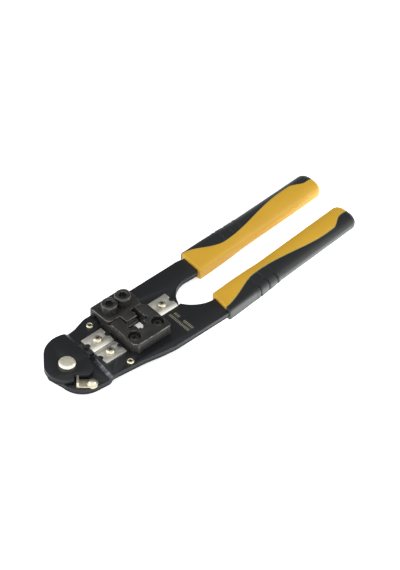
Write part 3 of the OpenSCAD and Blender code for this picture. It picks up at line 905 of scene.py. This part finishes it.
# In millimetres and degrees: where each grip starts on its centre line, how far that line leans, the
# grip's length, the side that is overmoulded, its half widths at the mouth and at the far end, where
# its three grooves lie, how far out its two colours meet at the mouth, and half the mouth's slant
GRIPS = {
    "punch_grip": Grip(
        start=(92.6, 13.1),
        lean=2.4,
        span=84.7,
        side=1,
        widths=(7.9, 7.45),
        grooves=(23.6, 29.3, 35.0),
        parting=7.2,
        slant=-0.5,
    ),
    "die_grip": Grip(
        start=(87.6, -18.1),
        lean=4.4,
        span=88.7,
        side=-1,
        widths=(7.8, 7.75),
        grooves=(19.4, 25.4, 31.3),
        parting=4.4,
        slant=1.4,
    ),
}
GRIP_HALF_T = 4.45
# How square a grip's section is, as the power of its rounded outline: at the mouth, and farther on
MOUTH_POWER, ROUND_POWER = 7.0, 2.5
# The lengths over which the mouth's section turns rounder and thicker, and its slant fades
ROUND_RUN, SLANT_RUN = 34, 16
# Rounding of the mouth's and the end's edges, and how much of it goes into the thickness
MOUTH_ROUND, MOUTH_THIN = 0.7, 0.7
END_ROUND, END_THIN = 3.8, 0.6
# Steps round the mouth's and the end's edges, along the body, and round a ring
MOUTH_STEPS, END_STEPS, BODY_STEPS, RING_STEPS = 5, 10, 100, 64
# Steps to each side of a groove, their length, and how near to it the body's own steps stop
GROOVE_STEPS, GROOVE_STEP, GROOVE_REACH = 7, 0.15, 1.2
# The overmould: the lengths over which its step rises and falls, its swell between the grooves, how
# far the swell runs past them and how fast it rises, the steepness of a groove, and its inset
STEP_RISE, STEP_FALL = 2, 3
RIB_SWELL, RIB_MARGIN, RIB_RISE = 0.3, 3, 2
GROOVE_FALL = 2.2
OVERMOULD_INSET = 0.1
# From the mouth, the line between the colours falls to this far inside the centre line, over this
# share of the grip, and then swings: where and for how long, as shares, and how far outwards
LINE_DIP, LINE_FALL = 1.8, 0.27
LINE_SWINGS = [(0.29, 0.5, 6.0), (0.84, 0.1, -3.9)]
# The least width that either colour keeps, the points down a seam's lip and where the skin starts,
# as shares of the lip's width
LIP_LEAST = 0.6
LIP_SHARES, LIP_END = (1.0, 0.62, 0.25), 1.05


def smooth(value):
    """Eases from 0 to 1, and stays at either outside them."""
    value = min(max(value, 0.0), 1.0)
    return value * value * (3 - 2 * value)


def colour_line(share, mouth):
    """How far to the outer side of a grip's centre line its two colours meet, in millimetres."""
    line = mouth - (mouth + LINE_DIP) * smooth(share / LINE_FALL)
    for start, run, swing in LINE_SWINGS:
        line += swing * smooth((share - start) / run)
    return line


def grip_stations(span, grooves):
    """Places of the rings along a grip, in millimetres, close together at both ends and at its grooves."""
    mouth = [MOUTH_ROUND * (1 - math.cos(math.radians(90 * k / MOUTH_STEPS))) for k in range(MOUTH_STEPS + 1)]
    end = [span - END_ROUND * (1 - math.sin(math.radians(90 * k / END_STEPS))) for k in range(END_STEPS + 1)]
    body = [mouth[-1] + (end[0] - mouth[-1]) * k / BODY_STEPS for k in range(1, BODY_STEPS)]
    body = [at for at in body if all(abs(at - groove) > GROOVE_REACH for groove in grooves)]
    body += [groove + GROOVE_STEP * k for groove in grooves for k in range(-GROOVE_STEPS, GROOVE_STEPS + 1)]
    return mouth + sorted(body) + end


def grip_half_sizes(at, span, widths):
    """Half width and half thickness of a grip at a distance from its mouth, in millimetres."""
    wide = widths[0] + (widths[1] - widths[0]) * smooth(at / span)
    lip = sizes().lip_height / MM
    thick = lip + (GRIP_HALF_T - lip) * smooth(at / ROUND_RUN)
    if at < MOUTH_ROUND:
        short = 1 - math.sqrt(max(0.0, 1 - (1 - at / MOUTH_ROUND) ** 2))
        wide -= MOUTH_ROUND * short
        thick -= MOUTH_THIN * MOUTH_ROUND * short
    if at > span - END_ROUND:
        short = 1 - math.sqrt(max(0.0, 1 - ((at - span + END_ROUND) / END_ROUND) ** 2))
        wide -= END_ROUND * short
        thick -= END_THIN * END_ROUND * short
    return wide, thick


def resample(points, count):
    """The same line of points with an even number of steps."""
    run = [0.0]
    for a, b in zip(points, points[1:]):
        run.append(run[-1] + math.dist(a, b))
    made, k = [], 0
    for step in range(count + 1):
        goal = run[-1] * step / count
        while k < len(run) - 2 and run[k + 1] < goal:
            k += 1
        share = (goal - run[k]) / max(run[k + 1] - run[k], 1e-9)
        made.append(tuple(p + (q - p) * share for p, q in zip(points[k], points[k + 1])))
    return made


def half_section(wide, thick, square, edge, outer):
    """Points round one colour's share of a grip's section, the seam's rounded lips included."""
    power = 2 / square

    def at(angle):
        c, s = math.cos(angle), math.sin(angle)
        return wide * math.copysign(abs(c) ** power, c), thick * math.copysign(abs(s) ** power, s)

    edge = max(LIP_LEAST - wide, min(edge, wide - LIP_LEAST))
    seam = math.acos(math.copysign(abs(edge / wide) ** (1 / power), edge))
    depth, half = sizes().seam_depth / MM, sizes().seam_width / MM
    way = 1 if outer else -1
    sweep = -2 * seam if outer else 2 * (math.pi - seam)
    points = [at(seam + sweep * k / RING_STEPS) for k in range(RING_STEPS + 1)]
    lips = []
    for _, z in (points[0], points[-1]):
        side = math.copysign(1, z)
        for share in LIP_SHARES:
            drop = depth * (1 - math.sqrt(1 - share * share))
            lips.append((edge + way * half * (1 - share), z - side * drop))
    skin = [p for p in points if (p[0] - edge) * way > half * LIP_END]
    return [*lips[:3], *resample(skin, RING_STEPS), *lips[:2:-1]]


def grip_part(grip, outer):
    """One colour of a grip, as a closed skin through its sections."""
    turn = math.radians(grip.lean)
    first, last = grip.grooves[0], grip.grooves[-1]
    rings = []
    for at in grip_stations(grip.span, grip.grooves):
        wide, thick = grip_half_sizes(at, grip.span, grip.widths)
        square = MOUTH_POWER + (ROUND_POWER - MOUTH_POWER) * smooth(at / ROUND_RUN)
        if outer:
            dip = max(
                math.exp(-(((at - groove) / (sizes().rib_width / MM)) ** 2) * GROOVE_FALL)
                for groove in grip.grooves
            )
            step = sizes().overmould_proud / MM
            step *= smooth(at / STEP_RISE) * smooth((grip.span - at) / STEP_FALL)
            ribs = RIB_SWELL * smooth((at - first + RIB_MARGIN) / RIB_RISE)
            ribs *= smooth((last + RIB_MARGIN - at) / RIB_RISE)
            swell = step + ribs - dip * sizes().rib_depth / MM
            wide, thick = wide + swell - OVERMOULD_INSET, thick + min(swell, 0)
        ring = []
        parting = colour_line(at / grip.span, grip.parting)
        for y, z in half_section(wide, thick, square, parting, outer):
            across = grip.side * y
            along = at - grip.slant * (1 + y / grip.widths[0]) * (1 - smooth(at / SLANT_RUN))
            ring.append(
                (
                    (grip.start[0] + along * math.cos(turn) - across * math.sin(turn)) * MM,
                    (grip.start[1] + along * math.sin(turn) + across * math.cos(turn)) * MM,
                    (GRIP_HALF_T + z) * MM,
                )
            )
        rings.append(ring)
    return rolled_sheet(rings, len(LIP_SHARES) - 1)


class CRIMPER_OT_grips(bpy.types.Operator):
    """Builds both two-colour grips: yellow cores, and black overmoulds with three grooves"""

    bl_idname = "crimper.grips"
    bl_label = "Grips"

    def execute(self, context):
        pair = colours()
        yellow = rubber_finish("yellow_moulded_rubber", pair.yellow_light, pair.yellow_deep, 0.42)
        light = [c * 1.25 for c in pair.grip_black]
        black = rubber_finish("black_moulded_rubber", light, pair.grip_black, 0.45, 0.28, 0.3)
        # The core's lips at the colour line take a grey-green tone: a painted highlight along the groove
        # where the colours meet
        seam = rubber_finish("yellow_rubber_seam_painted_highlight", linear("#8c8448"), linear("#7b7548"), 0.5)
        for name, grip in GRIPS.items():
            for part, outer, coats, slot in (
                ("core", False, (yellow, seam), "yellow_grip"),
                ("overmould", True, (black, black), "black_grip"),
            ):
                obj = grip_part(grip, outer)
                for coat in coats:
                    obj.data.materials.append(coat)
                place(obj, f"{name}_{part}_moulded", slot, f"{name}_{part}")
        return {"FINISHED"}


# ---- Floor, camera and light ----

# The floor's own light: the way along it in which it grows, from where to where, and its strengths
GLOW_WAY = (0.3, -0.9, 0)
GLOW_START, GLOW_END = 38 * MM, 64 * MM
GLOW_LOW, GLOW_HIGH = 0.5, 4.2
# The camera's angles in degrees, how far it aims right of and above the tool's middle, and its span
CAMERA_TURN, CAMERA_TILT = -41, 46
CAMERA_RIGHT, CAMERA_UP = 2.9 * MM, 0.42 * MM
CAMERA_SPAN = 285 * MM
# Soft lights: name, place, size and power, in metres and watts, and colour
LIGHTS = [
    ("key_light", (0.85, -0.75, 0.6), 0.6, 4.5, "#fffaf2"),
    ("back_light", (-0.85, 0.6, 0.6), 0.8, 7.0, "#f8faff"),
]
# The room's light dims towards +X +Y, which the flat tops mirror, so their black stays deep
SKY_WAY_X, SKY_WAY_Y = 0.66, 0.75
SKY_LEVELS = {"From Min": -0.15, "From Max": 0.68, "To Min": 1.75, "To Max": 0.25}


class CRIMPER_OT_stage(bpy.types.Operator):
    """Sets up the floor, the camera and the studio light"""

    bl_idname = "crimper.stage"
    bl_label = "Floor, Camera and Light"

    def execute(self, context):
        bpy.ops.object.select_all(action="DESELECT")
        bpy.ops.mesh.primitive_plane_add(size=6, location=(0, 0, -0.05 * MM))
        floor = context.active_object
        floor.name = "floor"
        paper, tree, shader, where = finish("white_paper_sweep", Roughness=0.9, Specular_IOR_Level=0.1)
        # The paper glows like a light table, more beside the grips, and is white all over to the eye
        way = add(tree, "VectorMath", {0: where, 1: GLOW_WAY}, operation="DOT_PRODUCT").outputs["Value"]
        rise = {"From Min": GLOW_START, "From Max": GLOW_END, "To Min": GLOW_LOW, "To Max": GLOW_HIGH}
        glow = add(tree, "MapRange", {"Value": way, **rise})
        white = {"Base Color": (*colours().floor, 1), "Emission Color": (1, 1, 1, 1)}
        feed(tree, shader, {**white, "Emission Strength": glow})
        floor.data.materials.append(paper)

        low, high = (Vector(corner) for corner in CAD_BOX)
        turn, tilt = math.radians(CAMERA_TURN), math.radians(CAMERA_TILT)
        back = Vector((math.sin(turn) * math.cos(tilt), -math.cos(turn) * math.cos(tilt), math.sin(tilt)))
        right = Vector((math.cos(turn), math.sin(turn), 0))
        aim = (low + high) / 2 + right * CAMERA_RIGHT + back.cross(right) * CAMERA_UP
        lens = bpy.data.cameras.new("camera")
        lens.type = "ORTHO"
        lens.ortho_scale = CAMERA_SPAN
        camera = bpy.data.objects.new("camera", lens)
        context.scene.collection.objects.link(camera)
        camera.location = aim + back
        camera.rotation_mode = "QUATERNION"
        camera.rotation_quaternion = (-back).to_track_quat("-Z", "Y")
        context.scene.camera = camera

        for name, at, size, power, tint in LIGHTS:
            lamp = bpy.data.lights.new(name, "AREA")
            lamp.shape, lamp.size, lamp.energy, lamp.color = "SQUARE", size, power, linear(tint)
            obj = bpy.data.objects.new(name, lamp)
            context.scene.collection.objects.link(obj)
            obj.location = at
            obj.rotation_mode = "QUATERNION"
            obj.rotation_quaternion = (aim - Vector(at)).to_track_quat("-Z", "Y")

        world = bpy.data.worlds.new("studio")
        world.use_nodes = True
        sky = world.node_tree
        way = add(sky, "SeparateXYZ", {"Vector": add(sky, "TexCoord").outputs["Generated"]}).outputs
        across = add(sky, "Math", {0: way["Y"], 1: SKY_WAY_Y}, operation="MULTIPLY")
        toward = add(sky, "Math", {0: way["X"], 1: SKY_WAY_X, 2: across}, operation="MULTIPLY_ADD")
        level = add(sky, "MapRange", {"Value": toward, **SKY_LEVELS})
        feed(sky, sky.nodes["Background"], {"Color": (*linear("#f6f8fb"), 1), "Strength": level})
        context.scene.world = world
        context.scene.view_settings.view_transform = "Standard"
        return {"FINISHED"}


class CRIMPER_PT_panel(bpy.types.Panel):
    """The tool's sizes, colours and pieces"""

    bl_label = "Crimping Tool"
    bl_idname = "CRIMPER_PT_panel"
    bl_space_type = "VIEW_3D"
    bl_region_type = "UI"
    bl_category = "Crimping Tool"

    def draw(self, context):
        for group in (context.scene.crimper_sizes, context.scene.crimper_colours):
            box = self.layout.box()
            for key in group.__annotations__:
                box.prop(group, key)
        for operator in OPERATORS:
            self.layout.operator(operator.bl_idname)


OPERATORS = (
    CRIMPER_OT_levers,
    CRIMPER_OT_blocks,
    CRIMPER_OT_blades,
    CRIMPER_OT_screws,
    CRIMPER_OT_rivets,
    CRIMPER_OT_spring,
    CRIMPER_OT_grips,
    CRIMPER_OT_stage,
)
CLASSES = (CrimperSizes, CrimperColours, *OPERATORS, CRIMPER_PT_panel)


def register():
    """Registers the classes and hangs the sizes and colours on the scene."""
    for cls in CLASSES:
        bpy.utils.register_class(cls)
    bpy.types.Scene.crimper_sizes = PointerProperty(type=CrimperSizes)
    bpy.types.Scene.crimper_colours = PointerProperty(type=CrimperColours)


def unregister():
    """Takes back what register did."""
    del bpy.types.Scene.crimper_colours
    del bpy.types.Scene.crimper_sizes
    for cls in reversed(CLASSES):
        bpy.utils.unregister_class(cls)


def main():
    """Builds every piece and the stage."""
    register()
    bpy.ops.crimper.levers()
    bpy.ops.crimper.blocks()
    bpy.ops.crimper.blades()
    bpy.ops.crimper.screws()
    bpy.ops.crimper.rivets()
    bpy.ops.crimper.spring()
    bpy.ops.crimper.grips()
    bpy.ops.crimper.stage()


if __name__ == "__main__":
    main()
